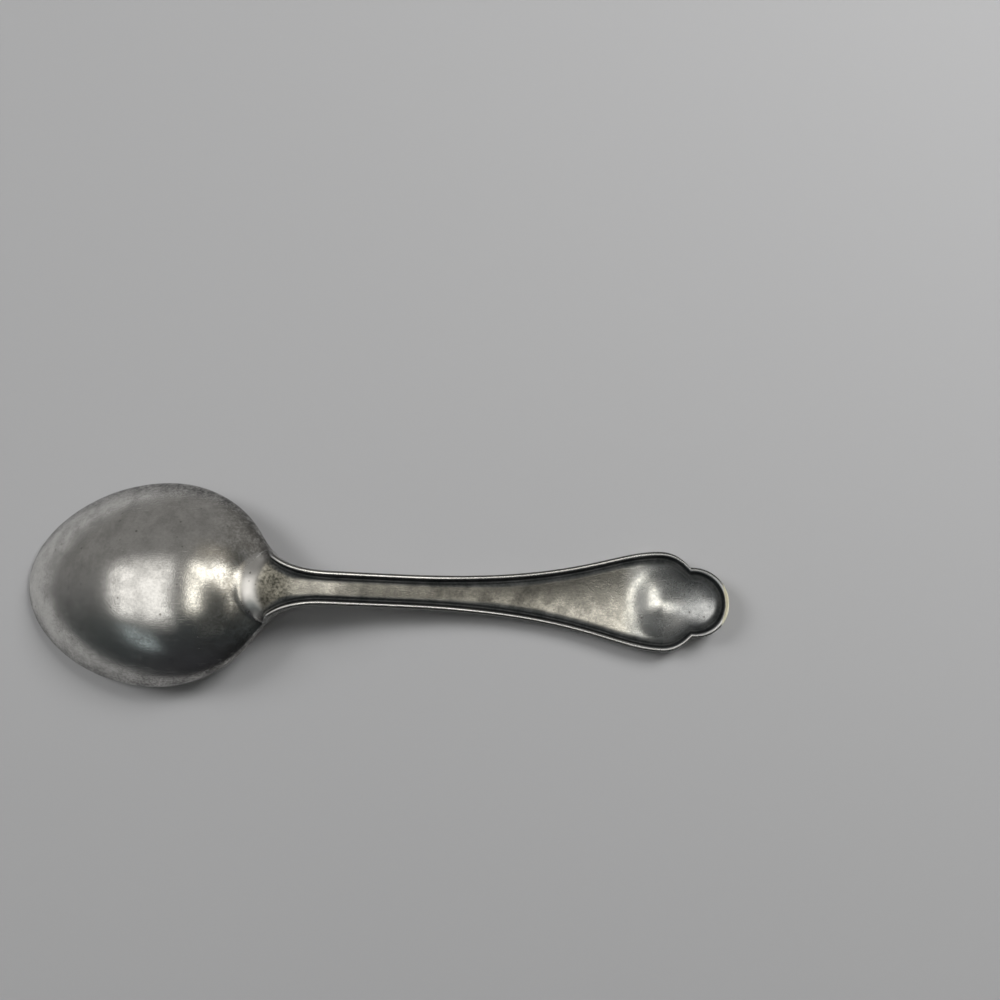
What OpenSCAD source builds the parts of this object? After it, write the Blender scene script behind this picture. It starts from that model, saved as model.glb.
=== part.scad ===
// Silver-plated baby spoon: a struck base-metal blank inside its coat of silver.
// It lies bowl down, as it is put aside on a table: the bowl's tip and the crest of the
// handle touch the table at z = 0. +X runs from the bowl's tip to the end of the handle,
// and the origin is at the middle of the length, on the table.
// The spoon's surface is one loft: a row of sections along the outline, each a closed
// ring of points over the back and under the front.

/* [Overall] */
// Length from the bowl's tip to the end of the handle
length = 108; // [96:1:124]
// Thickness of the silver coat
plate_t = 0.03; // [0.01:0.01:0.1]

/* [Bowl] */
// Width of the bowl at its widest section
bowl_w = 31; // [26:0.5:36]
// Distance from the widest section forward to the tip
bowl_front = 21.3; // [18:0.1:26]
// Distance from the widest section back to where the rear curve would close
bowl_rear = 17.3; // [14:0.1:20]
// Depth of the hollow inside its edge
bowl_depth = 7.2; // [5:0.1:9]
// Thickness of the metal at the bottom of the bowl
bowl_wall = 1.2; // [0.8:0.1:2]
// Thickness of the bowl's edge
rim_t = 0.8; // [0.5:0.1:1.2]
// Width of the bowl's edge, seen from the front
rim_w = 0.9; // [0.6:0.1:1.4]

/* [Drop] */
// Length of the drop, the tongue of the handle that runs onto the bowl's back
drop_l = 5.3; // [4:0.1:7]
// Width of the drop
drop_w = 11.2; // [9:0.1:13]
// How far the end of the drop stands proud of the bowl's back
drop_h = 0.3; // [0.1:0.05:0.8]
// How far the sides of the drop lie below its middle
drop_fall = 1.4; // [0.5:0.1:2]
// Length over which the drop sinks into the stem
drop_run = 10.4; // [8:0.1:14]

/* [Handle] */
// Width of the stem at its narrowest
stem_w = 5.2; // [4:0.1:8]
// Width of the handle's end across its shoulders
end_w = 15.4; // [11:0.1:20]
// Distance from the shoulders to the end of the handle
end_l = 10.3; // [8.5:0.1:14]
// Radius of the round lobe past the notches
lobe_r = 5.4; // [4.5:0.1:6]
// Length of the neck, where the bowl's outline runs into the stem
neck_l = 11; // [8:0.5:16]
// Thickness of the neck
neck_t = 3; // [2.2:0.1:4]
// Thickness of the stem
stem_t = 2.3; // [1.6:0.1:3]
// Thickness of the handle's end
end_t = 2.3; // [2.1:0.1:3]
// Width of the raised border along the handle's edges
border_w = 1; // [0.7:0.05:1.2]
// Height of the border above the panel on the back
border_h = 0.45; // [0.2:0.05:0.55]
// Width of the channel inside the border on the back
channel_w = 1.2; // [0.6:0.05:1.4]
// Depth of the channel below the panel
channel_h = 0.2; // [0.05:0.05:0.3]
// Depth of the panel on the front inside its border
front_h = 0.3; // [0.1:0.05:0.4]

/* [Hollow of the end] */
// Depth of the trough along the handle's back, at the shoulders
trough_h = 0.4; // [0.1:0.05:0.5]
// Depth of the dish in the trough
dish_h = 1.3; // [0.6:0.05:1.4]
// Width of the dish
dish_w = 13.2; // [10:0.1:14.6]
// Distance from the end of the handle to the deepest place of the dish
dish_in = 9.5; // [8:0.1:12]
// Length of the dish from its deepest place towards the stem
dish_stem_l = 6.2; // [4:0.1:8]
// Length of the dish from its deepest place towards the end
dish_end_l = 12.5; // [9:0.1:14]

/* [Bend] */
// Height of the bowl's edge above the table at the heel
heel_lift = 4.5; // [2:0.1:6]
// Height of the handle's end above the table
end_lift = 1.4; // [1.3:0.1:3]
// Height that the handle's arc gains over the same distance towards the stem
stem_lift = 1.6; // [1:0.1:3]
// Distance from the end of the handle to the crest that touches the table
crest_l = 24; // [18:0.5:32]
// How softly the bowl's edge line bends into the handle's arc
bend_soft = 1.6; // [0.8:0.1:3]

/* [Hidden] */

// Angle round the rear curve at which the neck leaves it
neck_angle = 59;
// Angles where the lobe starts at the notch, and where its end is worn flat
notch_angle = -4;
worn_angle = 80;
// Angle from the tip to the first section of the bowl
tip_angle = 2;

// Places along the length
tip_x = -length / 2;
end_x = length / 2;
wide_x = tip_x + bowl_front * cos(tip_angle);
heel_x = wide_x + bowl_rear;
shoulder_x = end_x - end_l;
lobe_x = end_x - lobe_r * sin(worn_angle);
crest_x = end_x - crest_l;
drop_x = heel_x - drop_l;
dish_x = end_x - dish_in;

// Half widths
bowl_hw = bowl_w / 2;
stem_hw = stem_w / 2;
end_hw = end_w / 2;
drop_hw = drop_w / 2;
dish_hw = dish_w / 2;

// Fullness of the bowl: 1 is a paraboloid, 0.5 an ellipsoid
full_share = 0.85;
// Taper of the bowl's front: 0 is half an ellipse, more is a more pointed egg
front_taper_share = 0.07;
// Control points of the neck, flare and shoulder curves, as shares of their lengths
neck_shares = [0.194, 0.375];
stem_share = 0.21;
flare_shares = [0.69, 0.81];
shoulder_shares = [0.53, 0.8];
shoulder_drop_share = 0.38;
// Length of the drop's nose as shares of the drop's length: at its corners, and what its middle adds
nose_shares = [0.5, 0.3];
// Crown of the drop: 0 sinks straight away from its nose, more keeps it high for longer
drop_crown_share = 1.2;
// Place of the border's crest in the border's width
crest_share = 0.5;
// Rounding of the edges, as a share of the thickness of the bowl's edge
edge_share = 0.44;
// Fullness of the dish: 1 is a paraboloid, more eases its rim
dish_full_share = 2;
// Share of the hollow's depth that is pressed through to the front
pressed_share = 0.42;

// Number of sections in each stretch of the outline
front_n = 12;
rear_n = 10;
neck_n = 13;
stem_n = 2;
flare_n = 14;
shoulder_n = 7;
lobe_n = 9;
// Spacing of the flare's sections: 1 is even, less sets them closer together at the shoulders
flare_spacing_share = 0.8;

// Lanes across half a section, from the edge in: first shares of the band along the edge, then
// shares of the half width that the band leaves
back_band_shares = [0, 0.12, 0.31, 0.45, 0.56, 0.75, 1];
back_rest_shares = [0.8, 0.56, 0.36, 0.18];
front_band_shares = [0, 0.45, 1];
front_rest_shares = [0.78, 0.52, 0.26];
// Most of a narrow section that the bands may take up
band_limit_share = 0.6;
function lanes_of(band_shares, rest_shares) =
    let (half = concat([for (b = band_shares) [b, 1]], [for (r = rest_shares) [1, r]]))
    concat(
        [for (l = half) [l[0], -l[1]]],
        [[1, 0]],
        [for (i = [len(half) - 1 : -1 : 0]) half[i]]
    );
back_lanes = lanes_of(back_band_shares, back_rest_shares);
front_lanes = lanes_of(front_band_shares, front_rest_shares);
back_n = len(back_lanes);
under_n = len(front_lanes);
ring_n = back_n + under_n;

// Small helpers: a clamp, an S-shaped step, a soft minimum and a Bezier curve of four points
function clamp01(t) = min(1, max(0, t));
function step01(t) = let (c = clamp01(t)) c * c * (3 - 2 * c);
function mix(a, b, t) = a + (b - a) * t;
function soft_min(a, b, soft) =
    let (h = max(soft - abs(a - b), 0) / soft) min(a, b) - h * h * soft / 4;
function bezier(p, t) =
    pow(1 - t, 3) * p[0] + 3 * t * pow(1 - t, 2) * p[1] + 3 * t * t * (1 - t) * p[2] + pow(t, 3) * p[3];

// The outline, as [place along the length, half width], from the bowl's tip to the handle's end
function bowl_front_at(a) =
    [wide_x - bowl_front * cos(a), bowl_hw * sin(a) * (1 - front_taper_share * pow(cos(a), 2))];
function bowl_rear_at(a) = [wide_x + bowl_rear * sin(a), bowl_hw * cos(a)];
function lobe_at(a) = [lobe_x + lobe_r * sin(a), lobe_r * cos(a)];

neck_from = bowl_rear_at(neck_angle);
neck_slope = -bowl_hw / bowl_rear * tan(neck_angle);
neck_to = [neck_from[0] + neck_l, stem_hw];
neck_curve = [
    neck_from,
    neck_from + neck_shares[0] * neck_l * [1, neck_slope],
    [neck_from[0] + neck_shares[1] * neck_l, stem_hw],
    neck_to
];
flare_from = [mix(neck_to[0], shoulder_x, stem_share), stem_hw];
shoulder = [shoulder_x, end_hw];
flare_curve = [
    flare_from,
    [mix(flare_from[0], shoulder_x, flare_shares[0]), stem_hw],
    [mix(flare_from[0], shoulder_x, flare_shares[1]), end_hw],
    shoulder
];
notch = lobe_at(notch_angle);
shoulder_curve = [
    shoulder,
    [mix(shoulder_x, notch[0], shoulder_shares[0]), end_hw],
    [mix(shoulder_x, notch[0], shoulder_shares[1]), mix(notch[1], end_hw, shoulder_drop_share)],
    notch
];
outline = concat(
    [for (i = [0 : front_n - 1]) bowl_front_at(mix(tip_angle, 90, i / front_n))],
    [for (i = [0 : rear_n - 1]) bowl_rear_at(neck_angle * i / rear_n)],
    [for (i = [0 : neck_n - 1]) bezier(neck_curve, i / neck_n)],
    [for (i = [0 : stem_n - 1]) mix(neck_to, flare_from, i / stem_n)],
    [for (i = [0 : flare_n - 1]) bezier(flare_curve, pow(i / flare_n, flare_spacing_share))],
    [for (i = [0 : shoulder_n - 1]) bezier(shoulder_curve, i / shoulder_n)],
    [for (i = [0 : lobe_n]) lobe_at(mix(notch_angle, worn_angle, i / lobe_n))]
);

// Height of the lowest line of the spoon: the bowl's edge, then the arc of the handle
function edge_line(x) = heel_lift * (x - tip_x) / (heel_x - tip_x);
function handle_arc(x) = (x > crest_x ? end_lift : stem_lift) * pow((x - crest_x) / crest_l, 2);
function base_z(x) = x > crest_x ? handle_arc(x) : soft_min(edge_line(x), handle_arc(x), bend_soft);

// Thickness of the handle along its length
function handle_t(x) =
    mix(
        mix(neck_t, stem_t, step01((x - heel_x) / neck_l)),
        end_t,
        step01((x - flare_from[0]) / (shoulder_x - flare_from[0]))
    );

// The bowl's hollow as a dome from 0 at its edge to 1 at its deepest; inset draws the edge in
function along_bowl(x, inset) = (x - wide_x) / ((x < wide_x ? bowl_front : bowl_rear) - inset);
function dome(x, y, inset) =
    let (
        s = along_bowl(x, inset),
        taper = x < wide_x ? 1 - front_taper_share * s * s : 1,
        across = y / (bowl_hw - inset) / taper
    )
    pow(max(0, 1 - s * s - across * across), full_share);
// The bowl's back as the same dome, which falls to the outline of the neck as well
function bowl_back_z(x, y, hw) =
    let (
        long = 1 - pow(along_bowl(x, 0), 2),
        across = 1 - pow(y / hw, 2)
    )
    edge_line(x) + rim_t + (bowl_depth + bowl_wall - rim_t) * pow(max(0, long) * across, full_share);

// Distance of a point from the handle's edge
function edge_dist(x, y, hw) = x > lobe_x ? lobe_r - norm([x - lobe_x, y]) : hw - abs(y);

// The hollow in the handle's back: a trough that deepens along the flare and fades to the end,
// and a dish in it that is steep towards the stem
function trough(x, y, hw) =
    let (
        deep = step01((x - flare_from[0]) / (shoulder_x - flare_from[0])),
        fade = 1 - step01((x - shoulder_x) / end_l),
        across = y / (x < shoulder_x ? hw : end_hw)
    )
    trough_h * deep * fade * max(0, 1 - across * across);
function dish(x, y) =
    let (along = (x - dish_x) / (x < dish_x ? dish_stem_l : dish_end_l))
    dish_h * pow(max(0, 1 - along * along - pow(y / dish_hw, 2)), dish_full_share);
function end_hollow(x, y, hw) = trough(x, y, hw) + dish(x, y);

// The handle's back: the crowned drop, the border's crest and the panel and channel inside it
drop_rise = bowl_back_z(drop_x, 0, drop_hw) + drop_h - base_z(drop_x) - handle_t(drop_x);
function drop_z(x, y) =
    let (sunk = clamp01((x - drop_x) / drop_run))
    drop_rise * pow(1 - sunk, 2) * (1 + drop_crown_share * sunk)
        - drop_fall * pow(y / drop_hw, 2) * (1 - step01(sunk));
function panel_share(d) = step01(pow(max(0, (d / border_w - crest_share) / (1 - crest_share)), 2));
function channel_share(d) = max(0, 1 - pow(2 * (d - border_w) / channel_w, 2));
function handle_relief(d) = border_h * panel_share(d) + channel_h * channel_share(d);
function handle_back_z(x, y, hw) =
    base_z(x) + handle_t(x) + drop_z(x, y) - end_hollow(x, y, hw)
        - handle_relief(edge_dist(x, y, hw)) * step01((x - heel_x) / drop_l + 1 / 2);

// Share of the drop in the back of the spoon: 0 on the bowl, 1 on the drop and the handle. The
// nose starts along a circle and rises as an S
function drop_share(x, y) =
    let (
        across = sqrt(max(0, 1 - pow(y / drop_hw, 2))),
        start_x = drop_x + drop_hw * (1 - across),
        rise = (x - start_x) / drop_l / (nose_shares[0] + nose_shares[1] * across)
    )
    step01(rise);

// Rounding of the edges up to the border's crest, as a height to take off at a distance from the edge
function edge_round(d) = edge_share * rim_t * pow(1 - clamp01(d / border_w / crest_share), 4);

function back_z(x, y, hw) =
    let (
        bowl = bowl_back_z(x, y, hw),
        handle = handle_back_z(x, y, hw),
        drop = x < heel_x ? max(bowl, handle) : handle
    )
    mix(bowl, drop, drop_share(x, y)) - edge_round(edge_dist(x, y, hw));
function front_z(x, y, hw) =
    let (
        d = edge_dist(x, y, hw),
        hollow = x < heel_x ? bowl_depth * dome(x, y, rim_w) : 0,
        panel = front_h * step01((x - heel_x) / neck_l) - pressed_share * end_hollow(x, y, hw)
    )
    base_z(x) + hollow + panel * panel_share(d) + edge_round(d) / 2;

// One section: its points over the back from right to left, then under the front
function lane_y(lane, band_w, hw) = (hw - lane[0] * min(band_w, band_limit_share * hw)) * lane[1];
function back_y(i, hw) = lane_y(back_lanes[i], border_w + channel_w / 2, hw);
function front_y(i, hw) = lane_y(front_lanes[i], rim_w, hw);
function section(at) =
    let (x = at[0], hw = at[1])
    concat(
        [for (i = [0 : back_n - 1]) let (y = back_y(i, hw)) [x, y, back_z(x, y, hw)]],
        [for (i = [under_n - 1 : -1 : 0]) let (y = front_y(i, hw)) [x, y, front_z(x, y, hw)]]
    );

// The finished surface, and the blank's surface under the coat: each point moved in along
// the surface's normal, and the first section moved in from the tip as well
skin = [for (at = outline) section(at)];
section_n = len(skin);
function skin_normal(j, k) =
    let (
        along = skin[min(j + 1, section_n - 1)][k] - skin[max(j - 1, 0)][k],
        round = skin[j][(k + 1) % ring_n] - skin[j][(k + ring_n - 1) % ring_n],
        n = cross(along, round)
    )
    n / norm(n);
blank_skin = [
    for (j = [0 : section_n - 1]) [
        for (k = [0 : ring_n - 1])
            skin[j][k] - plate_t * (skin_normal(j, k) - (j == 0 ? [1, 0, 0] : [0, 0, 0]))
    ]
];

// Faces of a loft over rings of points, numbered from a first point; all wind clockwise
// seen from outside, and inside_out turns them for an inner wall
function turned(faces, inside_out) = inside_out ? [for (f = faces) [f[2], f[1], f[0]]] : faces;
function quad(a, b, c, d) = [[a, c, b], [a, d, c]];
// The quads are cut along one diagonal on the left and its mirror image on the right
function cut_first(k) = k < (back_n - 1) / 2 || (k >= back_n - 1 && k < back_n + (under_n - 1) / 2);
function loft_sides(first, inside_out) = turned([
    for (j = [0 : section_n - 2], k = [0 : ring_n - 1])
        let (p = first + j * ring_n, q = p + ring_n, l = (k + 1) % ring_n)
        each cut_first(k) ? quad(q + k, q + l, p + l, p + k) : quad(p + k, q + k, q + l, p + l)
], inside_out);
// An end is zipped up between the points of its back and the fewer points of its front
lane_ratio = (under_n - 1) / (back_n - 1);
function end_cap(first, inside_out) =
    let (last = first + ring_n - 1)
    turned(concat(
        [for (k = [0 : back_n - 2]) [first + k + 1, first + k, last - round(k * lane_ratio)]],
        [for (m = [0 : under_n - 2])
            [first + ceil((m + 1 / 2) / lane_ratio), last - m, last - m - 1]]
    ), inside_out);
function end_ring(outer, inner) = [
    for (k = [0 : ring_n - 1])
        let (l = (k + 1) % ring_n)
        each quad(outer + k, inner + k, inner + l, outer + l)
];
last_ring = (section_n - 1) * ring_n;
function points_of(rings) = [for (r = rings) each r];

// The blank, struck from one sheet of base metal: bowl, drop, stem and bordered end in one piece
module base_metal_blank() {
    color("#b8ad94")
        polyhedron(
            points = points_of(blank_skin),
            faces = concat(loft_sides(0, false), end_cap(0, false), end_cap(last_ring, true))
        );
}

// The silver coat, all over the blank but for the end of the handle, where it is worn off
module silver_plate() {
    inner = section_n * ring_n;
    color("#c4c4c2")
        polyhedron(
            points = concat(points_of(skin), points_of(blank_skin)),
            faces = concat(
                loft_sides(0, false), end_cap(0, false),
                loft_sides(inner, true), end_cap(inner, true),
                end_ring(last_ring, inner + last_ring)
            )
        );
}

base_metal_blank();
silver_plate();
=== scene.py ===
"""Looks of a silver-plated baby spoon that lies bowl down on a pale table."""

import bpy
import numpy as np
from mathutils import Matrix, Vector


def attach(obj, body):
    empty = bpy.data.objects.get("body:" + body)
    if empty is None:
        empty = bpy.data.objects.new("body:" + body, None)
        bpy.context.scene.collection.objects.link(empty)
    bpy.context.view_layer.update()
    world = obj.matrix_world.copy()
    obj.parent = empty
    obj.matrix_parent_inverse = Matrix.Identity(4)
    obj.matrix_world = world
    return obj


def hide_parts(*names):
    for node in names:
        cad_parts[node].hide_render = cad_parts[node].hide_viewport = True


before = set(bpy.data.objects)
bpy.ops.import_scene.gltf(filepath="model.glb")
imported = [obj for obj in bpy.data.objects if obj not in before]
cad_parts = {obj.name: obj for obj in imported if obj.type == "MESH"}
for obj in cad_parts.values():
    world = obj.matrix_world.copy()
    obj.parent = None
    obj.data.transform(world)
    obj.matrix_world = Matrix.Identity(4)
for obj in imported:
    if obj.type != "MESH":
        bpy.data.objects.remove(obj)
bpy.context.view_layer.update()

# The struck blank: bowl, drop, stem and bordered end in one piece of nickel-brass. It is cut
# from strip, cross-rolled to spread the bowl, struck between dies and trimmed. The silver
# covers it, but for the end of the handle, where years of use and polishing wore it bare.

# Whole spoon and the coat on it; all lengths are in metres.
LENGTH, PLATE_T = 0.108, 0.00003
# Bowl: half width, reach before and behind its widest place, depth, wall, edge and dome.
BOWL_HW, BOWL_FRONT, BOWL_REAR = 0.0155, 0.0213, 0.0173
BOWL_DEPTH, BOWL_WALL, RIM_T, RIM_W = 0.0072, 0.00118, 0.0008, 0.0009
BOWL_FULLNESS, FRONT_TAPER = 0.85, 0.07
TIP_ANGLE, NECK_ANGLE = np.radians((2, 59))
# Drop on the bowl's back: length, half width, height, fall to its sides, run-out and crown;
# the share of its length that the nose takes at the corners, and how much more midway.
DROP_L, DROP_HW, DROP_H = 0.0053, 0.0056, 0.0003
DROP_FALL, DROP_RUN, DROP_CROWN = 0.0014, 0.0104, 1.2
NOSE_CORNER, NOSE_MORE = 0.5, 0.3
# Neck, stem and end: half widths, lengths and thicknesses, and the pull of their curves.
STEM_HW, END_HW, END_L, LOBE_R = 0.0026, 0.0077, 0.0103, 0.0054
NECK_L, NECK_T, STEM_T, END_T = 0.011, 0.003, 0.0023, 0.0023
NOTCH_ANGLE, WORN_ANGLE = np.radians((-4, 80))
FLARE_START, NECK_PULL = 0.21, (0.194, 0.375)
FLARE_PULL, SHOULDER_PULL = (0.69, 0.81), (0.53, 0.8, 0.38)
# Border, the channel inside it, the panel of the front, and the hollows of the end's back.
BORDER_W, BORDER_H, CREST_PLACE, EDGE_H = 0.001, 0.00045, 0.5, 0.00035
CHANNEL_W, CHANNEL_H, FRONT_H, TROUGH_H = 0.00085, 0.0002, 0.0003, 0.0004
DISH_H, DISH_HW, DISH_IN, DISH_STEM_L, DISH_END_L = 0.0013, 0.0066, 0.0095, 0.0062, 0.0125
DISH_FULLNESS, PRESSED_THROUGH = 2, 0.42
# Arch of the spoon as it lies: height at the heel, along the stem and at the end.
HEEL_LIFT, STEM_LIFT, END_LIFT, CREST_L, BEND_SOFT = 0.0045, 0.0016, 0.0014, 0.024, 0.0016

TIP_X, END_X = -LENGTH / 2, LENGTH / 2
WIDE_X = TIP_X + BOWL_FRONT * np.cos(TIP_ANGLE)
HEEL_X = WIDE_X + BOWL_REAR
DROP_X = HEEL_X - DROP_L
SHOULDER_X = END_X - END_L
LOBE_X = END_X - LOBE_R * np.sin(WORN_ANGLE)
CREST_X = END_X - CREST_L
DISH_X = END_X - DISH_IN
NECK_X = WIDE_X + BOWL_REAR * np.sin(NECK_ANGLE)
STEM_X = NECK_X + NECK_L
FLARE_X = STEM_X + FLARE_START * (SHOULDER_X - STEM_X)


def ease(t):
    """S-shaped step: 3 t^2 - 2 t^3, with t held between 0 and 1."""
    t = np.clip(t, 0, 1)
    return t * t * (3 - 2 * t)


def mix(a, b, t):
    """Straight blend from a to b."""
    return a + (b - a) * t


def bezier(points, count):
    """Cubic curve from the first to the last of four points, pulled by the two between them;
    its own last point is left out."""
    p = np.asarray(points)
    t = np.linspace(0, 1, count, endpoint=False)[:, None]
    return (1 - t)**3 * p[0] + 3 * t * (1 - t)**2 * p[1] + 3 * t * t * (1 - t) * p[2] + t**3 * p[3]


# Sections along the bowl's front and rear, the neck, stem, flare, shoulder and lobe.
OUTLINE_STEPS = (56, 60, 50, 24, 70, 36, 44)


def half_outline():
    """Places along the length and half widths there, from the bowl's tip to the handle's end.

    The bowl is a tapered quarter ellipse in front and most of another behind, the neck, the
    flare and the shoulder are cubic curves, and the lobe past the notch is a circle that is
    worn flat.
    """
    front_n, rear_n, neck_n, stem_n, flare_n, shoulder_n, lobe_n = OUTLINE_STEPS
    a = np.linspace(TIP_ANGLE, np.pi / 2, front_n, endpoint=False)
    taper = 1 - FRONT_TAPER * np.cos(a)**2
    front = np.c_[WIDE_X - BOWL_FRONT * np.cos(a), BOWL_HW * np.sin(a) * taper]
    a = np.linspace(0, NECK_ANGLE, rear_n, endpoint=False)
    rear = np.c_[WIDE_X + BOWL_REAR * np.sin(a), BOWL_HW * np.cos(a)]
    neck_hw = BOWL_HW * np.cos(NECK_ANGLE)
    neck_slope = -BOWL_HW / BOWL_REAR * np.tan(NECK_ANGLE)
    start, end = NECK_PULL
    neck = bezier([
        (NECK_X, neck_hw),
        (NECK_X + start * NECK_L, neck_hw + start * NECK_L * neck_slope),
        (NECK_X + end * NECK_L, STEM_HW),
        (STEM_X, STEM_HW)], neck_n)
    stem = np.c_[np.linspace(STEM_X, FLARE_X, stem_n, endpoint=False), np.full(stem_n, STEM_HW)]
    start, end = FLARE_PULL
    flare = bezier([
        (FLARE_X, STEM_HW),
        (mix(FLARE_X, SHOULDER_X, start), STEM_HW),
        (mix(FLARE_X, SHOULDER_X, end), END_HW),
        (SHOULDER_X, END_HW)], flare_n)
    notch_x, notch_hw = LOBE_X + LOBE_R * np.sin(NOTCH_ANGLE), LOBE_R * np.cos(NOTCH_ANGLE)
    start, end, rise = SHOULDER_PULL
    shoulder = bezier([
        (SHOULDER_X, END_HW),
        (mix(SHOULDER_X, notch_x, start), END_HW),
        (mix(SHOULDER_X, notch_x, end), mix(notch_hw, END_HW, rise)),
        (notch_x, notch_hw)], shoulder_n)
    a = np.linspace(NOTCH_ANGLE, WORN_ANGLE, lobe_n)
    lobe = np.c_[LOBE_X + LOBE_R * np.sin(a), LOBE_R * np.cos(a)]
    return np.vstack([front, rear, neck, stem, flare, shoulder, lobe])


def lanes(hw, band_w, band_n, rest_n):
    """Places across each section from right to left: close together in a band along each
    edge, at most six tenths of the half width, and evenly spaced over what the bands leave."""
    band = np.r_[np.linspace(0, 1, band_n), np.ones(rest_n)]
    rest = np.r_[np.ones(band_n), np.linspace(1, 0, rest_n + 2)[1:-1]]
    band, rest = np.r_[band, 1, band[::-1]], np.r_[-rest, 0, rest[::-1]]
    return (hw - band * np.minimum(band_w, 0.6 * hw)) * rest


def edge_line(x):
    """Height of the bowl's edge: straight from the tip on the table up to the heel."""
    return HEEL_LIFT * (x - TIP_X) / (HEEL_X - TIP_X)


def base_height(x):
    """Height of the spoon's lowest line: the bowl's edge line, softly cut off by the
    handle's arc, two parabolas that touch the table at its crest."""
    lift = np.where(x > CREST_X, END_LIFT, STEM_LIFT)
    line, arc = edge_line(x), lift * ((x - CREST_X) / CREST_L)**2
    near = np.maximum(BEND_SOFT - np.abs(line - arc), 0) / BEND_SOFT
    return np.where(x > CREST_X, arc, np.minimum(line, arc) - near**2 * BEND_SOFT / 4)


def dome(x, y, inset):
    """The bowl's hollow from 0 at its edge to 1 at its deepest: what the squares of the places
    along and across leave of 1, to a power; inset draws the edge in."""
    along = (x - WIDE_X) / (np.where(x < WIDE_X, BOWL_FRONT, BOWL_REAR) - inset)
    taper = np.where(x < WIDE_X, 1 - FRONT_TAPER * along**2, 1)
    across = y / ((BOWL_HW - inset) * taper)
    return np.maximum(0, np.maximum(0, 1 - along**2) - across**2)**BOWL_FULLNESS


def bowl_back(x, y, hw):
    """Height of the bowl's back: its edge line, the edge's thickness and a dome, which is 1
    less the square of the place along, times 1 less the square of the place across the
    outline, to a power."""
    along = (x - WIDE_X) / np.where(x < WIDE_X, BOWL_FRONT, BOWL_REAR)
    rise = (np.maximum(0, 1 - along**2) * (1 - (y / hw)**2))**BOWL_FULLNESS
    return edge_line(x) + RIM_T + (BOWL_DEPTH + BOWL_WALL - RIM_T) * rise


def edge_distance(x, y, hw):
    """Distance in from the outline: across the section, or to the circle of the lobe."""
    return np.where(x > LOBE_X, LOBE_R - np.hypot(x - LOBE_X, y), hw - np.abs(y))


def edge_round(d):
    """Height that the rounded edge loses: the fourth power of the way down from the border's
    crest, so that the crest is nearly flat."""
    return EDGE_H * (1 - np.clip(d / (CREST_PLACE * BORDER_W), 0, 1))**4


def panel_share(d):
    """0 on the border's crest, 1 on the panel inside it: an S-shaped step of the square of
    the way, which leaves the crest nearly flat."""
    return ease(np.maximum(0, (d / BORDER_W - CREST_PLACE) / (1 - CREST_PLACE))**2)


def thickness(x):
    """Thickness of the handle: neck, stem and end, eased into each other."""
    stem = mix(NECK_T, STEM_T, ease((x - HEEL_X) / NECK_L))
    return mix(stem, END_T, ease((x - FLARE_X) / (SHOULDER_X - FLARE_X)))


def nose_rise(x, y):
    """How far up the drop's nose a place lies: 0 along the circle where the drop starts, and
    1 at the nose's top; the way between, over the nose's length, which is less at the corners."""
    across = np.sqrt(np.maximum(0, 1 - (y / DROP_HW)**2))
    start_x = DROP_X + DROP_HW * (1 - across)
    return (x - start_x) / (DROP_L * (NOSE_CORNER + NOSE_MORE * across))


def drop_share(x, y):
    """0 on the bowl's back, 1 on the drop and the handle: an S-shaped step up the nose."""
    return ease(nose_rise(x, y))


def handle_share(x):
    """0 on the bowl, 1 on the handle: an S-shaped step over a drop's length at the heel."""
    return ease((x - HEEL_X) / DROP_L + 0.5)


def end_hollow(x, y, hw):
    """Depth of the hollow in the handle's back: a trough, a parabola across that deepens along
    the flare and fades to the end, and in it a dish, which is what the squares of the places
    along and across leave of 1, to a power."""
    deep = ease((x - FLARE_X) / (SHOULDER_X - FLARE_X)) * (1 - ease((x - SHOULDER_X) / END_L))
    trough = np.maximum(0, 1 - (y / np.where(x < SHOULDER_X, hw, END_HW))**2)
    along = (x - DISH_X) / np.where(x < DISH_X, DISH_STEM_L, DISH_END_L)
    dish = np.maximum(0, 1 - along**2 - (y / DISH_HW)**2)**DISH_FULLNESS
    return TROUGH_H * deep * trough + DISH_H * dish


def back_height(x, y, hw):
    """Height of the back: the bowl's dome, over which the handle with its border, channel,
    panel and hollow end runs as a crowned drop that fades into the stem."""
    d = edge_distance(x, y, hw)
    drop_rise = bowl_back(DROP_X, 0, DROP_HW) + DROP_H - base_height(DROP_X) - thickness(DROP_X)
    sunk = np.clip((x - DROP_X) / DROP_RUN, 0, 1)
    drop = drop_rise * (1 - sunk)**2 * (1 + DROP_CROWN * sunk)
    drop = drop - DROP_FALL * (y / DROP_HW)**2 * (1 - ease(sunk))
    channel = CHANNEL_H * np.maximum(0, 1 - (2 * (d - BORDER_W) / CHANNEL_W)**2)
    relief = (BORDER_H * panel_share(d) + channel) * handle_share(x)
    handle = base_height(x) + thickness(x) + drop - end_hollow(x, y, hw) - relief
    bowl = bowl_back(x, y, hw)
    over = np.where(x < HEEL_X, np.maximum(bowl, handle), handle)
    return mix(bowl, over, drop_share(x, y)) - edge_round(d)


def front_height(x, y, hw):
    """Height of the front, which faces the table: the hollow of the bowl, and the handle's
    shallow panel inside its border, which the hollow of the back presses out."""
    d = edge_distance(x, y, hw)
    hollow = np.where(x < HEEL_X, BOWL_DEPTH * dome(x, y, RIM_W), 0)
    panel = FRONT_H * ease((x - HEEL_X) / NECK_L) - PRESSED_THROUGH * end_hollow(x, y, hw)
    return base_height(x) + hollow + panel * panel_share(d) + edge_round(d) / 2


# Lanes of points across each half: along the edge, and over the rest; steps down the edge.
BACK_LANE_COUNTS, FRONT_LANE_COUNTS, EDGE_STEPS = (15, 22), (8, 14), 5
BACK_LANES = 2 * sum(BACK_LANE_COUNTS) + 1


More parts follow.
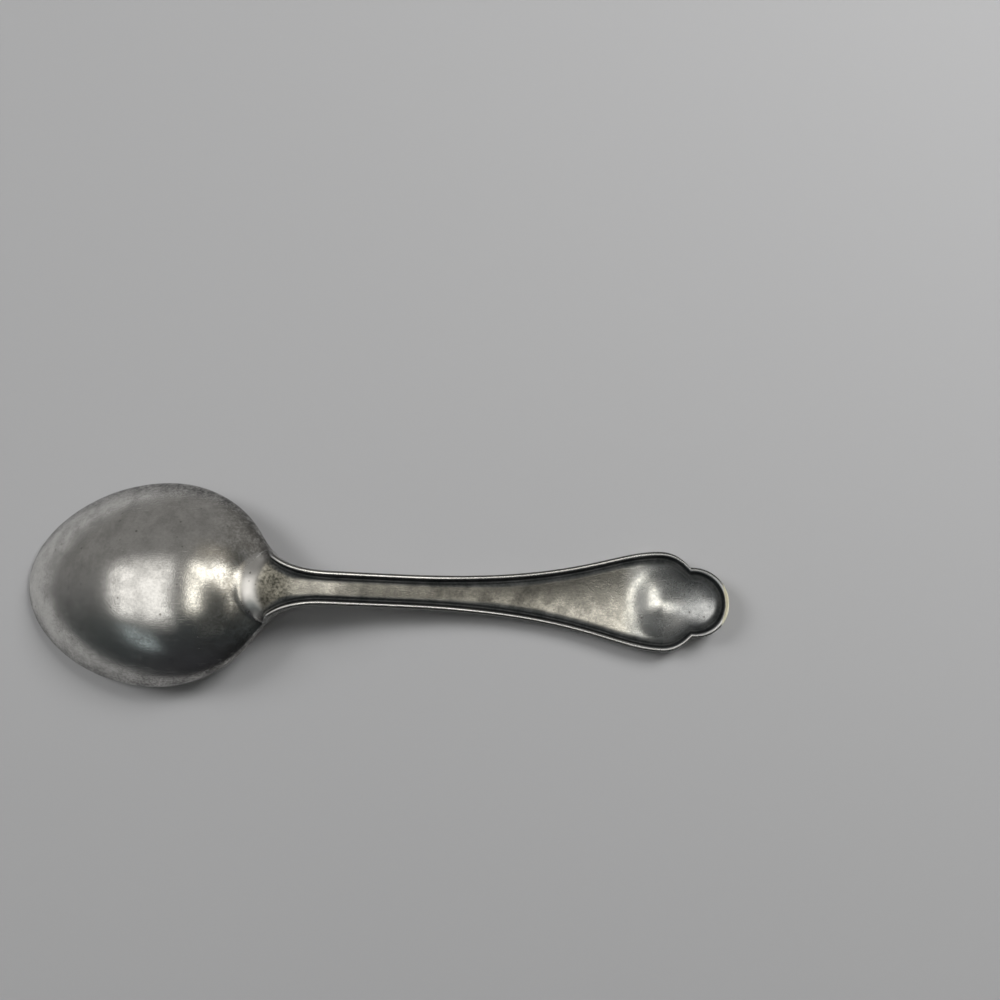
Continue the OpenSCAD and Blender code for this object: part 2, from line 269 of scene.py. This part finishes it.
def spoon_skin():
    """Rings of points over the back, down the left edge, under the front and up the right
    edge, one ring for each place of the outline."""
    x, hw = np.split(half_outline(), 2, axis=1)
    back_y = lanes(hw, BORDER_W + CHANNEL_W, *BACK_LANE_COUNTS)
    front_y = lanes(hw, RIM_W, *FRONT_LANE_COUNTS)[:, ::-1]
    back = np.stack(np.broadcast_arrays(x, back_y, back_height(x, back_y, hw)), -1)
    front = np.stack(np.broadcast_arrays(x, front_y, front_height(x, front_y, hw)), -1)
    steps = np.linspace(0, 1, EDGE_STEPS)[1:-1, None]
    left = mix(back[:, None, -1], front[:, None, 0], steps)
    right = mix(front[:, None, -1], back[:, None, 0], steps)
    return np.concatenate([back, left, front, right], axis=1)


def inner_skin(rings):
    """The surface under the coat: each point moved in along the normal, which is the cross
    product of the ways along and round; the first ring also moves in from the tip."""
    along = np.gradient(rings, axis=0)
    around = np.roll(rings, -1, axis=1) - np.roll(rings, 1, axis=1)
    normal = np.cross(along, around)
    normal /= np.linalg.norm(normal, axis=-1, keepdims=True)
    inner = rings - PLATE_T * normal
    inner[0, :, 0] += PLATE_T
    return inner


def loft_faces(ring_count, ring_size, first=0):
    """Quads between neighbouring rings, which face outwards."""
    k = np.arange(ring_size)
    p = first + ring_size * np.arange(ring_count - 1)[:, None]
    here, beside = p + k, p + np.roll(k, -1)
    return np.stack([here, here + ring_size, beside + ring_size, beside], -1).reshape(-1, 4)


def mesh_piece(name, points, faces):
    """A smooth mesh object at the origin from points and lists of corners."""
    mesh = bpy.data.meshes.new(name)
    mesh.from_pydata(points.reshape(-1, 3), [], faces)
    mesh.polygons.foreach_set("use_smooth", [len(f) == 4 for f in faces])
    mesh.update()
    piece = bpy.data.objects.new(name, mesh)
    bpy.context.scene.collection.objects.link(piece)
    return piece


skin = spoon_skin()
blank_skin = inner_skin(skin)
ring_count, ring_size = skin.shape[:2]
ring = np.arange(ring_size)
last = (ring_count - 1) * ring_size
blank = mesh_piece(
    "struck_blank", blank_skin,
    loft_faces(ring_count, ring_size).tolist() + [ring[::-1].tolist(), (last + ring).tolist()])


def node(tree, kind, inputs=None, **settings):
    """A shader node with its settings, and its inputs plugged in as links or plain values."""
    made = tree.nodes.new("ShaderNode" + kind)
    for name, value in settings.items():
        setattr(made, name, value)
    for name, value in (inputs or {}).items():
        if isinstance(value, bpy.types.NodeSocket):
            tree.links.new(value, made.inputs[name])
        else:
            made.inputs[name].default_value = value
    return made


def maths(tree, operation, *values):
    """One step of arithmetic on one to three values."""
    return node(tree, "Math", dict(enumerate(values)), operation=operation).outputs[0]


def spread(tree, value, low, high):
    """A value between low and high, spread softly over 0 to 1."""
    inputs = {"Value": value, "From Min": low, "From Max": high}
    return node(tree, "MapRange", inputs, interpolation_type="SMOOTHSTEP").outputs[0]


def tint(tree, share, first, second):
    """A colour that goes from the first to the second."""
    return node(tree, "Mix", {0: share, 6: first, 7: second}, data_type="RGBA").outputs[2]


def noise(tree, place, scale, detail, roughness=0.5):
    """Cloudy noise around 0.5, with about as many clouds to a metre as the scale says."""
    inputs = {"Vector": place, "Scale": scale, "Detail": detail, "Roughness": roughness}
    return node(tree, "TexNoise", inputs).outputs["Fac"]


# Marks to a metre; the turn of each set of scratches and how many lie across a metre, and
# how many along and down; the height of the finest grit.
CLOUDS, GRAINS, PIT_CELLS, GRIT = 380.0, 2600.0, 950.0, 5200.0
SCRATCH_SETS = ((1.45, 5200.0), (0.35, 6400.0), (-0.7, 5800.0))
SCRATCHES_ALONG, SCRATCHES_DOWN = 260.0, 600.0
GRIT_H = 0.00001


def wear_group():
    """Marks that old metal gathers: cloudy mottling, fine specks, sparse pits and hairline
    scratches, each from 0 to 1, and the normal that they and a fine grit tilt, all on the
    piece's own coordinates."""
    tree = bpy.data.node_groups.new("metal_wear", "ShaderNodeTree")
    for name in ("Mottle", "Specks", "Pits", "Scratches"):
        tree.interface.new_socket(name, in_out="OUTPUT", socket_type="NodeSocketFloat")
    tree.interface.new_socket("Normal", in_out="OUTPUT", socket_type="NodeSocketVector")
    place = node(tree, "TexCoord").outputs["Object"]
    out = tree.nodes.new("NodeGroupOutput").inputs
    cloud = noise(tree, place, CLOUDS, 6.0, 0.6)
    tree.links.new(spread(tree, cloud, 0.36, 0.66), out["Mottle"])
    grain = noise(tree, place, GRAINS, 2.0, 0.6)
    tree.links.new(spread(tree, grain, 0.36, 0.68), out["Specks"])
    cells = node(tree, "TexVoronoi", {"Vector": place, "Scale": PIT_CELLS})
    chosen = node(tree, "SeparateColor", {"Color": cells.outputs["Color"]})
    size = maths(tree, "MULTIPLY", spread(tree, chosen.outputs[0], 0.6, 1.0), 0.2)
    ragged = maths(tree, "MULTIPLY_ADD", grain, 0.25, cells.outputs["Distance"])
    pit = spread(tree, maths(tree, "SUBTRACT", size, ragged), -0.13, -0.06)
    tree.links.new(pit, out["Pits"])
    lines = 0.0
    for angle, closeness in SCRATCH_SETS:
        scale = (SCRATCHES_ALONG, closeness, SCRATCHES_DOWN)
        turned = node(tree, "Mapping", {"Vector": place, "Rotation": (0, 0, angle), "Scale": scale})
        hair = noise(tree, turned.outputs[0], 1.0, 2.0)
        lines = maths(tree, "MAXIMUM", spread(tree, hair, 0.66, 0.74), lines)
    tree.links.new(lines, out["Scratches"])
    marks = maths(tree, "MAXIMUM", lines, pit)
    relief = maths(tree, "MULTIPLY_ADD", marks, -0.3, noise(tree, place, GRIT, 2.0))
    bump = node(tree, "Bump", {"Height": relief, "Strength": 1.0, "Distance": GRIT_H})
    tree.links.new(bump.outputs["Normal"], out["Normal"])
    return tree


metal_wear = wear_group()


def worn_metal(name):
    """A metal with the wear group in it: the material, its tree, its sockets and the marks."""
    metal = bpy.data.materials.new(name)
    metal.use_nodes = True
    tree = metal.node_tree
    bsdf = tree.nodes["Principled BSDF"]
    bsdf.inputs["Metallic"].default_value = 1
    wear = node(tree, "Group", node_tree=metal_wear).outputs
    tree.links.new(wear["Normal"], bsdf.inputs["Normal"])
    return metal, tree, bsdf.inputs, wear


BARE_PALE, BARE_DULL = (0.97, 0.95, 0.80, 1), (0.90, 0.85, 0.66, 1)
brass, tree, shader, wear = worn_metal("worn_nickel_brass")
tree.links.new(tint(tree, wear["Mottle"], BARE_PALE, BARE_DULL), shader["Base Color"])
tree.links.new(maths(tree, "MULTIPLY_ADD", wear["Specks"], 0.1, 0.42), shader["Roughness"])
blank.data.materials.append(brass)
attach(blank, "root")
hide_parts("base_metal_blank")

# The silver plate: an electroplated coat all over the blank, polished bright when new. It is
# bonded to the blank and has gone dull and scratched, with dark sulphide in its channels. Its
# colour also holds painted light: painted shade in the channels, on the flare, round the dish
# and at the bowl's rim, and painted highlights on the crest and the drop's nose.

inner_first = ring_count * ring_size
beside = np.roll(ring, -1)
end_rim = last + np.stack([ring, inner_first + ring, inner_first + beside, beside], -1)
plate = mesh_piece(
    "silver_plate_coat", np.concatenate([skin, blank_skin]),
    loft_faces(ring_count, ring_size).tolist() + [ring[::-1].tolist()]
    + loft_faces(ring_count, ring_size, inner_first)[:, ::-1].tolist()
    + [(inner_first + ring).tolist()] + end_rim.tolist())


def past(value, start, width):
    """0 up to the start, 1 from a width beyond it, and an S-shaped step between."""
    return ease((value - start) / width)


def finish_masks():
    """Share from 0 to 1 that each point of the skin has in each place where the finish changes.

    Each mask is a product of S-shaped steps of the place along, of the distance d in from
    the outline, or of the way up the drop's nose: the channel, crest and edge of the border,
    the handle, stem, dish and a band of painted shade round the dish, the nose and top of the
    drop, the darker rim and heel of the bowl, the rim's dark band being partly tarnish and
    partly a painted reflection of the shaded table, and the worn end. Starts and widths are in
    metres, but for those of the way up the nose.
    """
    x, y = skin[..., 0], skin[..., 1]
    hw = np.abs(y).max(axis=1, keepdims=True)
    d = edge_distance(x, y, hw)
    rise = nose_rise(x, y)
    back = np.arange(ring_size) < BACK_LANES
    handle = back * handle_share(x)
    inside_border = past(d, 0.0006, 0.00016)
    panel_start = np.minimum(0.0016, 0.5 * hw)
    # Painted light on the flare: the stem's dark colour fades towards the lower side, so the upper
    # half stays darker as painted shade.
    lit_lower_flare = past(x, 0.022, 0.016) * (0.75 - 0.5 * y / hw)
    near_border = 1 - past(d, 0.0012, 0.0035)
    off_middle = past(np.abs(y + 0.0012), 0, 0.0025)
    return {
        # Channel: partly dark sulphide and partly painted shade of its steep walls.
        "channel": handle * inside_border * (1 - past(d, panel_start, 0.0007)),
        "crest": handle * (1 - past(np.abs(d - 0.00045), 0, 0.00024)),
        "edge": handle * (1 - past(d, 0.0001, 0.0002)),
        "handle": np.maximum(handle, back * past(rise, 0.8, 0.4) * (x > DROP_X)),
        # Nose: brighter silver that strengthens its reflected crescent, a painted highlight.
        "nose": back * past(rise, 0.1, 0.4) * (1 - past(rise, 0.7, 0.5)) * (x < HEEL_X + 0.001),
        "drop": back * past(rise, 0.65, 0.5) * (1 - past(x, HEEL_X + 0.0015, 0.0045)),
        # Rim: partly tarnish, partly a painted dark reflection of the shaded table.
        "rim": back * (1 - past(d, 0, 0.003)) * (1 - past(x, HEEL_X, 0.002)),
        # Stem: dark tarnish, and on the flare a painted shade over the upper half.
        "stem": handle * past(x, -0.013, 0.014) * (1 - lit_lower_flare),
        "dish": handle * past(x, 0.037, 0.004),
        # Painted shade: a dark band where the dish slopes down into the channel, but not along its
        # middle.
        "dish_edge_shade": handle * past(x, 0.039, 0.004) * near_border * off_middle,
        "heel": back * past(x, -0.0255, 0.006) * (1 - past(rise, 0, 0.3)),
        "worn_end": past(x, END_X - 0.0017, 0.0016) * (1 - past(d, 0.0005, 0.0003)),
    }


masks = finish_masks()
for name, share in masks.items():
    plate.data.attributes.new(name, "FLOAT", "POINT").data.foreach_set(
        "value", np.concatenate([share, share]).ravel())

silver, tree, shader, wear = worn_metal("aged_silver")
on = {name: node(tree, "Attribute", attribute_name=name).outputs["Fac"] for name in masks}
mottle, specks = wear["Mottle"], wear["Specks"]
clouds = maths(tree, "MULTIPLY_ADD", specks, 0.3, maths(tree, "MULTIPLY", mottle, 0.7))
grime = maths(tree, "MULTIPLY_ADD", specks, 0.6, maths(tree, "MULTIPLY", mottle, 0.4))
frayed = maths(tree, "MULTIPLY_ADD", mottle, -0.5, maths(tree, "MULTIPLY", on["worn_end"], 1.5))
worn = spread(tree, frayed, 0.1, 0.6)
darker_heel = maths(tree, "MULTIPLY", on["heel"], grime)
rim_grime_and_dark_reflection = maths(tree, "MULTIPLY", on["rim"], maths(tree, "MULTIPLY_ADD", grime, 0.6, 0.45))
pitted = maths(tree, "MULTIPLY", wear["Pits"], 0.7)

# Clean and clouded silver of the bowl, and the colours laid over it, from the lowest layer up:
# tarnish, wear, and painted shade and highlights.
colour = tint(tree, clouds, (0.82, 0.805, 0.77, 1), (0.55, 0.54, 0.515, 1))
for share, over in (
        # Heel: darker, blotched silver on the bowl's back before the drop.
        (darker_heel, (0.38, 0.36, 0.325, 1)),
        (on["handle"], tint(tree, clouds, (0.60, 0.585, 0.545, 1), (0.36, 0.35, 0.325, 1))),
        # Stem: dark tarnish, with painted shade on the upper half of the flare.
        (on["stem"], tint(tree, clouds, (0.27, 0.262, 0.239, 1), (0.08, 0.078, 0.071, 1))),
        (on["dish"], tint(tree, clouds, (0.86, 0.865, 0.855, 1), (0.56, 0.575, 0.575, 1))),
        # Painted shade round the dish, where its slope meets the channel.
        (on["dish_edge_shade"], (0.16, 0.172, 0.178, 1)),
        # Nose: a painted highlight, brighter silver that lifts the reflected crescent.
        (on["nose"], (0.88, 0.86, 0.82, 1)),
        (on["drop"], tint(tree, grime, (0.25, 0.24, 0.21, 1), (0.035, 0.035, 0.03, 1))),
        # Rim: blotchy tarnish, and a painted dark reflection of the shaded table.
        (rim_grime_and_dark_reflection, (0.08, 0.079, 0.078, 1)),
        (pitted, (0.16, 0.15, 0.13, 1)),
        (on["edge"], (0.20, 0.20, 0.19, 1)),
        # Crest: polished silver whose near-white colour is also a painted highlight along the
        # border.
        (on["crest"], (0.96, 0.965, 0.975, 1)),
        # Channel: dark sulphide, with painted shade of the channel's steep walls on top of it.
        (on["channel"], tint(tree, clouds, (0.12, 0.125, 0.128, 1), (0.05, 0.055, 0.058, 1))),
        (worn, tint(tree, mottle, BARE_PALE, BARE_DULL))):
    colour = tint(tree, share, colour, over)
tree.links.new(colour, shader["Base Color"])

# Roughness of the polished bowl, and how much each place adds to it.
rough = maths(tree, "MULTIPLY_ADD", mottle, 0.06, maths(tree, "MULTIPLY_ADD", specks, 0.05, 0.135))
for share, more in (
        (on["drop"], 0.12), (on["nose"], 0.16), (on["crest"], 0.08), (on["channel"], 0.3),
        (on["dish"], 0.055), (worn, 0.26), (wear["Scratches"], 0.04)):
    rough = maths(tree, "MULTIPLY_ADD", share, more, rough)
tree.links.new(rough, shader["Roughness"])
plate.data.materials.append(silver)
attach(plate, "root")
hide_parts("silver_plate")

# The table: a board with a matt white coat of paint, laid level under the spoon. It is plain
# and wider than the view, and takes the spoon's soft shadows.

TABLE_HALF = 0.6


def matt_paint(name, colour, roughness):
    """A plain painted finish for what only stands round the spoon."""
    paint = bpy.data.materials.new(name)
    paint.use_nodes = True
    shader = paint.node_tree.nodes["Principled BSDF"].inputs
    shader["Base Color"].default_value = colour
    shader["Roughness"].default_value = roughness
    return paint


corners = np.array([(-1, -1, 0), (1, -1, 0), (1, 1, 0), (-1, 1, 0)]) * TABLE_HALF
table = mesh_piece("table_top", corners, [[0, 1, 2, 3]])
table.data.materials.append(matt_paint("matt_white_top", (0.5, 0.5, 0.505, 1), 0.7))

# The light: soft-edged boxes above the table, hung so that the polished metal shows them, and
# plain lamps to the sides that cast the shadows. Dark cards between the boxes and the spoon
# leave gaps in its reflections, and the room is mid grey behind the table and dark before it.


def softbox(name, low, high, height, turn, soft, radiance, colour):
    """A lamp that fills the rectangle between two corners at a height above the table, turned
    by some degrees, and faces down; its light fades to nothing over the soft widths along its
    edges. It is seen in polished surfaces alone."""
    lamp = bpy.data.lights.new(name, "AREA")
    lamp.shape = "RECTANGLE"
    lamp.size, lamp.size_y = high[0] - low[0], high[1] - low[1]
    lamp.energy = radiance * np.pi * lamp.size * lamp.size_y
    lamp.color = colour
    lamp.use_nodes = True
    tree = lamp.node_tree
    place = node(tree, "SeparateXYZ", {"Vector": node(tree, "NewGeometry").outputs["Parametric"]})
    level = 1.0
    for axis, length, width in (("X", lamp.size, soft[0]), ("Y", lamp.size_y, soft[1])):
        inward = maths(tree, "PINGPONG", place.outputs[axis], 0.5)
        level = maths(tree, "MULTIPLY", spread(tree, inward, 0.0, width / length), level)
    tree.links.new(level, tree.nodes["Emission"].inputs["Strength"])
    holder = bpy.data.objects.new(name, lamp)
    holder.location = ((low[0] + high[0]) / 2, (low[1] + high[1]) / 2, height)
    holder.rotation_euler.z = np.radians(turn)
    holder.visible_diffuse = False
    bpy.context.scene.collection.objects.link(holder)


# Each box: two corners, height, turn, soft widths, radiance and colour.
DAYLIGHT = (1, 0.985, 0.96)
softbox("left_softbox", (-1.4, -0.97), (-0.21, 0.6), 1.0, 0, (0.1, 0.5), 1.0, DAYLIGHT)
softbox("right_softbox", (-0.07, -0.6), (0.78, 0.5), 1.0, 0, (0.08, 0.26), 1.55, (1, 0.965, 0.87))
softbox("low_softbox", (-1.6, -2.0), (-0.65, -0.9), 1.0, 0, (0.2, 0.2), 0.28, (0.86, 1, 1.04))
softbox("back_softbox", (-0.05, 0.25), (0.65, 0.9), 1.0, 0, (0.2, 0.25), 0.17, (1, 0.86, 0.62))
softbox("middle_softbox", (0.03, -0.2), (0.15, -0.02), 0.298, 0, (0.03, 0.05), 0.5, (1, 0.97, 0.93))
softbox("strip_softbox", (0.014, 0.01), (0.034, 0.07), 0.126, 20, (0.007, 0.02), 1.15, DAYLIGHT)


def side_lamp(name, place, size, power):
    """A square lamp that faces the spoon."""
    lamp = bpy.data.lights.new(name, "AREA")
    lamp.size, lamp.energy = size, power
    holder = bpy.data.objects.new(name, lamp)
    facing = Vector(place).to_track_quat("Z", "Y").to_matrix().to_4x4()
    holder.matrix_world = Matrix.Translation(place) @ facing
    bpy.context.scene.collection.objects.link(holder)
    return holder


side_lamp("left_fill", (-0.75, 0.3, 0.6), 0.4, 4.2).visible_glossy = False
side_lamp("back_fill", (0.27, 0.27, 0.34), 0.2, 1.48).visible_glossy = False
side_lamp("side_light", (1.2, 0.0, 0.35), 0.7, 2.6).visible_diffuse = False

dark_card = matt_paint("dark_card", (0.18, 0.19, 0.185, 1), 0.5)


def flag(name, height, outline):
    """A flat dark card above the spoon, which only reflections show."""
    corners = np.insert(np.array(outline), 2, height, axis=1)
    card = mesh_piece(name, corners, [list(range(len(corners)))])
    card.visible_camera = False
    card.data.materials.append(dark_card)
    return card


flag("near_flag", 0.126, (
    (-0.004, -0.145), (-0.003, -0.02), (0.003, -0.003), (0.012, 0.002), (0.021, 0.0015),
    (0.031, -0.006), (0.058, -0.018), (0.058, -0.145)))
flag("far_flag", 0.3, (
    (0.028, -0.2), (0.028, 0.002), (0.044, 0.02), (0.076, 0.02), (0.104, -0.01), (0.15, -0.04),
    (0.15, -0.2)))
lee_flag = flag("lee_flag", 0.126, (
    (0.056, 0.016), (0.08, 0.027), (0.12, 0.037), (0.15, 0.045), (0.15, 0.11), (0.05, 0.11),
    (0.052, 0.03)))
lee_flag.visible_shadow = lee_flag.visible_diffuse = False

# Greys of the room from front to back, by the share of the way.
ROOM_GREYS = (
    (0.0, (0.03, 0.03, 0.034)), (0.15, (0.035, 0.04, 0.042)), (0.28, (0.06, 0.066, 0.066)),
    (0.45, (0.14, 0.14, 0.14)), (0.65, (0.2, 0.198, 0.194)), (1.0, (0.22, 0.217, 0.212)))
room = bpy.data.worlds.new("room")
bpy.context.scene.world = room
room.use_nodes = True
tree = room.node_tree
facing = node(tree, "TexCoord").outputs["Generated"]
way = node(tree, "SeparateXYZ", {"Vector": facing}).outputs["Y"]
share = node(tree, "MapRange", {"Value": way, "From Min": -1.0}).outputs["Result"]
ramp = node(tree, "ValToRGB", {"Fac": share})
stops = ramp.color_ramp.elements
for place, grey in ROOM_GREYS:
    stop = stops[0] if place == 0 else stops[-1] if place == 1 else stops.new(place)
    stop.color = (*grey, 1)
tree.links.new(ramp.outputs["Color"], tree.nodes["Background"].inputs["Color"])

# The camera: a small one with a short lens, mounted 12 cm above the table over the stem. It
# looks down, tilted a little towards the back, and is turned slightly.

CAMERA_AT = (0.01643, -0.00532, 0.12333)
CAMERA_TILT, CAMERA_PAN, CAMERA_ROLL = np.radians((9.5, 0.86, 2.23))
SENSOR_W, LENS_TO_SENSOR, NEAREST = 36, 0.78, 0.005
camera = bpy.data.objects.new("camera", bpy.data.cameras.new("camera"))
camera.data.lens = SENSOR_W * LENS_TO_SENSOR
camera.data.sensor_width = SENSOR_W
camera.data.clip_start = NEAREST
camera.matrix_world = (
    Matrix.Translation(CAMERA_AT) @ Matrix.Rotation(CAMERA_TILT, 4, "X")
    @ Matrix.Rotation(-CAMERA_PAN, 4, "Y") @ Matrix.Rotation(CAMERA_ROLL, 4, "Z"))
bpy.context.scene.collection.objects.link(camera)
bpy.context.scene.camera = camera
bpy.context.scene.view_settings.view_transform = "Standard"
